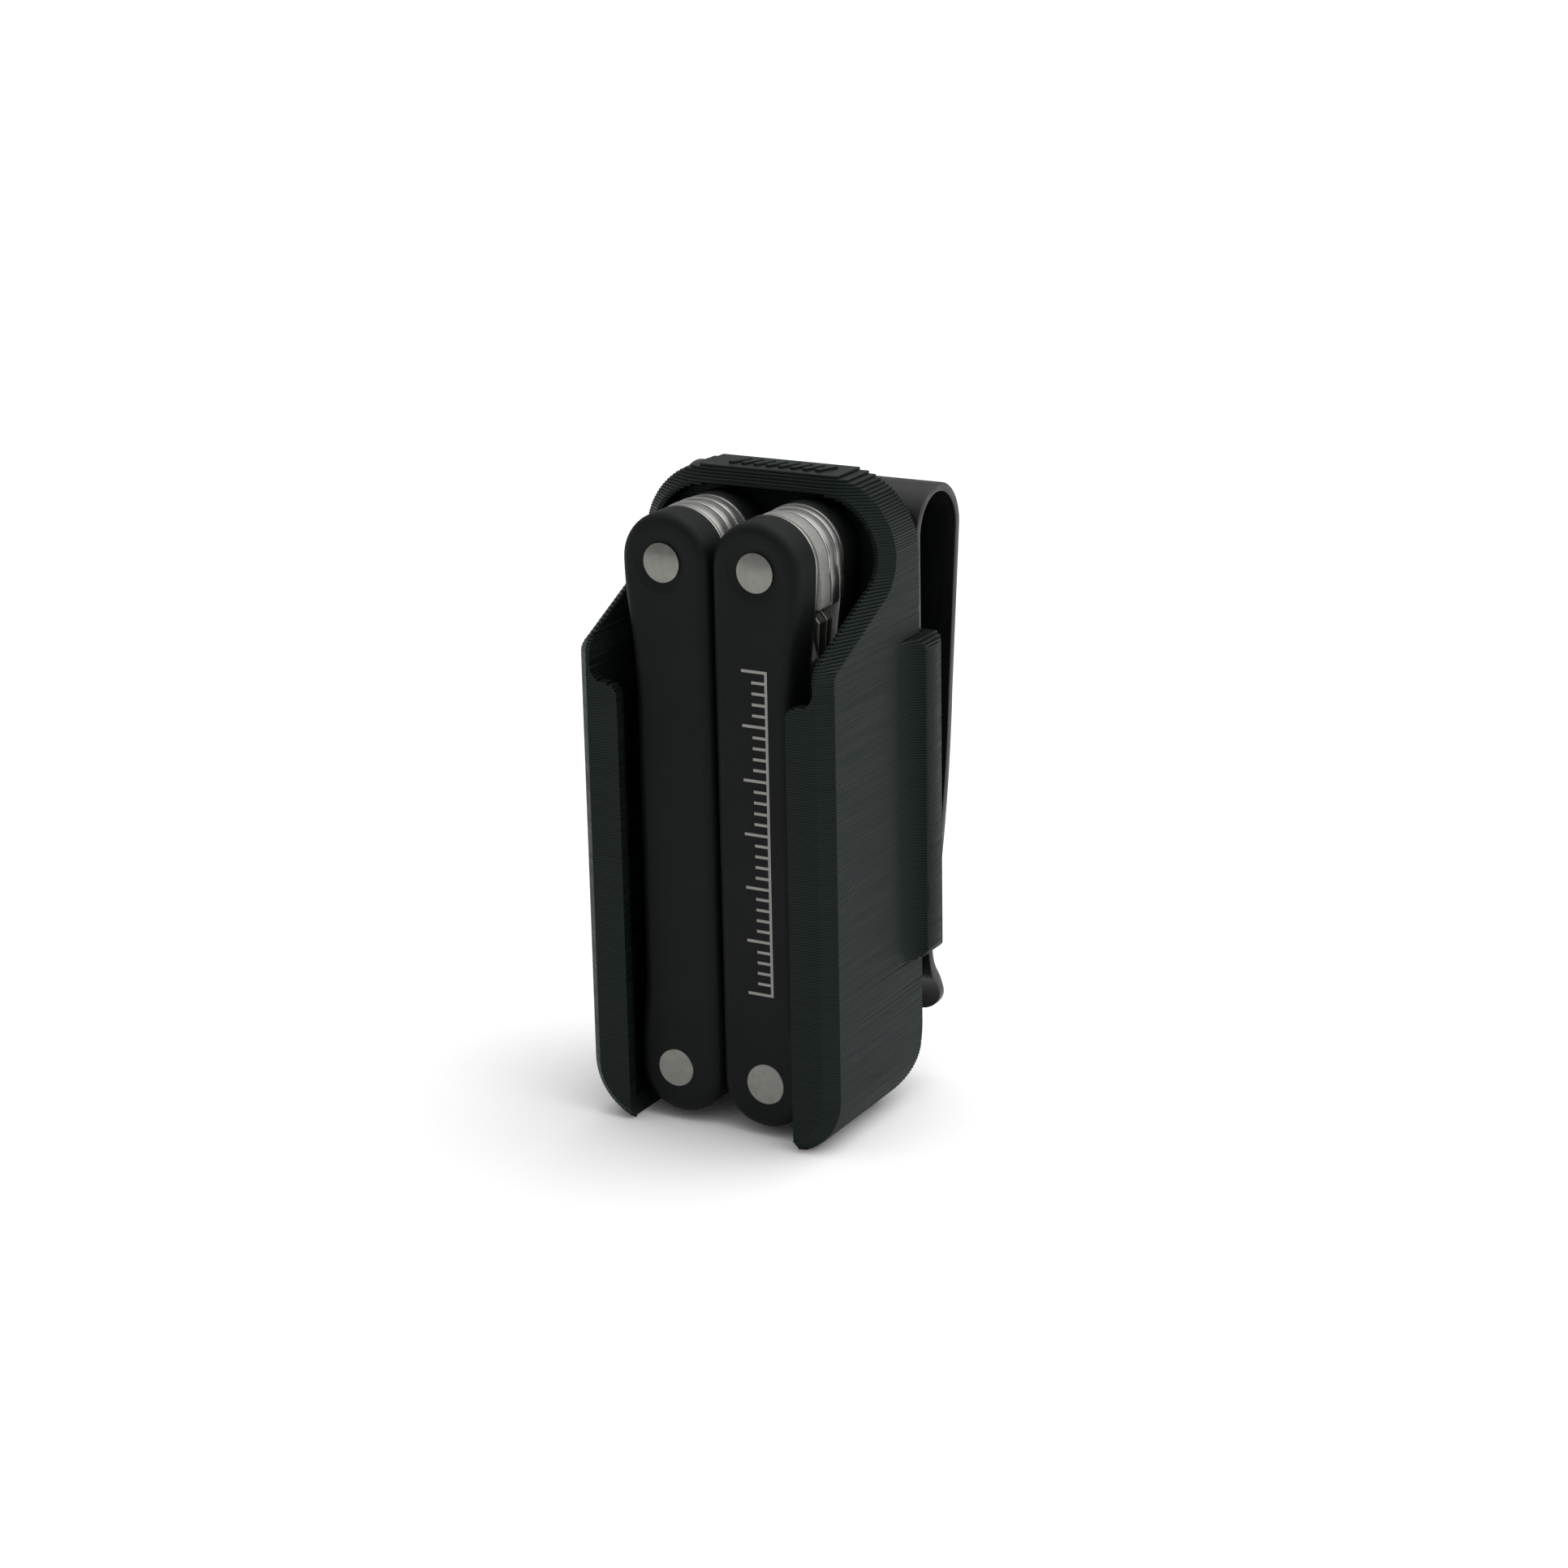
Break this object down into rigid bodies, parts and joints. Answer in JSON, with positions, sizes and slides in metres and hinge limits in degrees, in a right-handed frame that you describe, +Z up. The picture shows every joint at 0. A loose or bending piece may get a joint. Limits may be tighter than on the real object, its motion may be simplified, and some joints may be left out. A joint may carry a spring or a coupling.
{
  "type": "multi tool",
  "caption": "Folded keychain plier tool with black scales, standing in a printed open-front holster that has a sprung steel belt clip on its back.",
  "frame": {"origin": "under the middle of the bounding box, on the surface that the holster stands on", "axes": "+Z up along the folded tool, -Y out of the holster's open front towards the user, +Y towards the belt clip, +X to the right seen from the front"},
  "size_m": [0.0292, 0.0264, 0.0592],
  "materials": {
    "printed_plastic": "matt black printed plastic with fine layer lines",
    "clip_steel": "satin black coated spring steel",
    "anodised_scale": "matt black hard anodised",
    "liner_steel": "satin stainless sheet",
    "rivet_steel": "peened stainless, slightly dull",
    "washer_steel": "polished stainless",
    "spring_steel": "satin spring steel",
    "jaw_steel": "bead blasted stainless",
    "blade_steel": "satin stainless blade steel"
  },
  "bodies": {
    "holster": {"holster_shell": "printed_plastic", "belt_clip_base": "clip_steel", "belt_clip_loop": "clip_steel"},
    "clip_arm": {"belt_clip_arm": "clip_steel"},
    "right_handle": {"right_front_scale": "anodised_scale", "right_back_scale": "anodised_scale", "right_front_liner": "liner_steel", "right_back_liner": "liner_steel", "right_implement_rivet": "rivet_steel", "right_plier_rivet": "rivet_steel", "right_stack_washers": "washer_steel", "right_plier_spacers": "washer_steel", "right_backspring": "spring_steel"},
    "left_handle": {"left_front_scale": "anodised_scale", "left_back_scale": "anodised_scale", "left_front_liner": "liner_steel", "left_back_liner": "liner_steel", "left_implement_rivet": "rivet_steel", "left_plier_rivet": "rivet_steel", "left_stack_washers": "washer_steel", "left_plier_spacers": "washer_steel", "left_backspring": "spring_steel"},
    "right_jaw": {"right_plier_half": "jaw_steel", "plier_pivot_pin": "rivet_steel", "right_jaw_spring": "spring_steel"},
    "left_jaw": {"left_plier_half": "jaw_steel", "left_jaw_spring": "spring_steel"},
    "knife": {"knife_blade": "blade_steel"},
    "file": {"nail_file": "blade_steel"},
    "flat_driver": {"flat_screwdriver": "blade_steel"},
    "scissors": {"scissor_frame": "blade_steel", "scissor_screw": "rivet_steel", "scissor_spring": "spring_steel"},
    "scissor_blade": {"scissor_blade": "blade_steel"},
    "opener": {"bottle_opener": "blade_steel"},
    "phillips": {"phillips_screwdriver": "blade_steel"}
  },
  "joints": [
    {"name": "clip_flex", "type": "hinge", "parent": "holster", "child": "clip_arm", "pos_m": [0, 0.0088, 0.0529], "axis": [1, 0, 0], "range_deg": [0, 6], "stiffness_Nm_per_rad": 0.6, "deforming": ["belt_clip_loop"]},
    {"name": "tool_draw", "type": "slide", "parent": "holster", "child": "right_handle", "axis": [0, -0.9397, 0.342], "range_m": [0, 0.07], "deforming": ["holster_shell"]},
    {"name": "pliers_unfold", "type": "hinge", "parent": "right_handle", "child": "right_jaw", "pos_m": [0.00468, -0.0051, 0.0052], "axis": [0, -1, 0], "range_deg": [0, 180]},
    {"name": "pliers_pivot", "type": "hinge", "parent": "right_jaw", "child": "left_jaw", "pos_m": [0, -0.0051, 0.0101], "axis": [0, 1, 0], "range_deg": [0, 18]},
    {"name": "left_unfold", "type": "hinge", "parent": "left_jaw", "child": "left_handle", "pos_m": [-0.00468, -0.0051, 0.0052], "axis": [0, -1, 0], "range_deg": [0, 180]},
    {"name": "knife_open", "type": "hinge", "parent": "left_handle", "child": "knife", "pos_m": [-0.00468, -0.00648, 0.0527], "axis": [0, 1, 0], "range_deg": [0, 180]},
    {"name": "file_open", "type": "hinge", "parent": "left_handle", "child": "file", "pos_m": [-0.00468, -0.00473, 0.0527], "axis": [0, 1, 0], "range_deg": [0, 180]},
    {"name": "flat_driver_open", "type": "hinge", "parent": "left_handle", "child": "flat_driver", "pos_m": [-0.00468, -0.00343, 0.0527], "axis": [0, 1, 0], "range_deg": [0, 180]},
    {"name": "scissors_open", "type": "hinge", "parent": "right_handle", "child": "scissors", "pos_m": [0.00468, -0.00648, 0.0527], "axis": [0, -1, 0], "range_deg": [0, 180]},
    {"name": "scissor_snip", "type": "hinge", "parent": "scissors", "child": "scissor_blade", "pos_m": [0.0053, -0.00605, 0.0421], "axis": [0, -1, 0], "range_deg": [0, 25]},
    {"name": "opener_open", "type": "hinge", "parent": "right_handle", "child": "opener", "pos_m": [0.00468, -0.00473, 0.0527], "axis": [0, -1, 0], "range_deg": [0, 180]},
    {"name": "phillips_open", "type": "hinge", "parent": "right_handle", "child": "phillips", "pos_m": [0.00468, -0.00343, 0.0527], "axis": [0, -1, 0], "range_deg": [0, 180]}
  ],
  "couplings": [
    {"joint": "pliers_pivot", "follows": "pliers_unfold", "ratio": 0.1},
    {"joint": "left_unfold", "follows": "pliers_unfold", "ratio": 1}
  ]
}
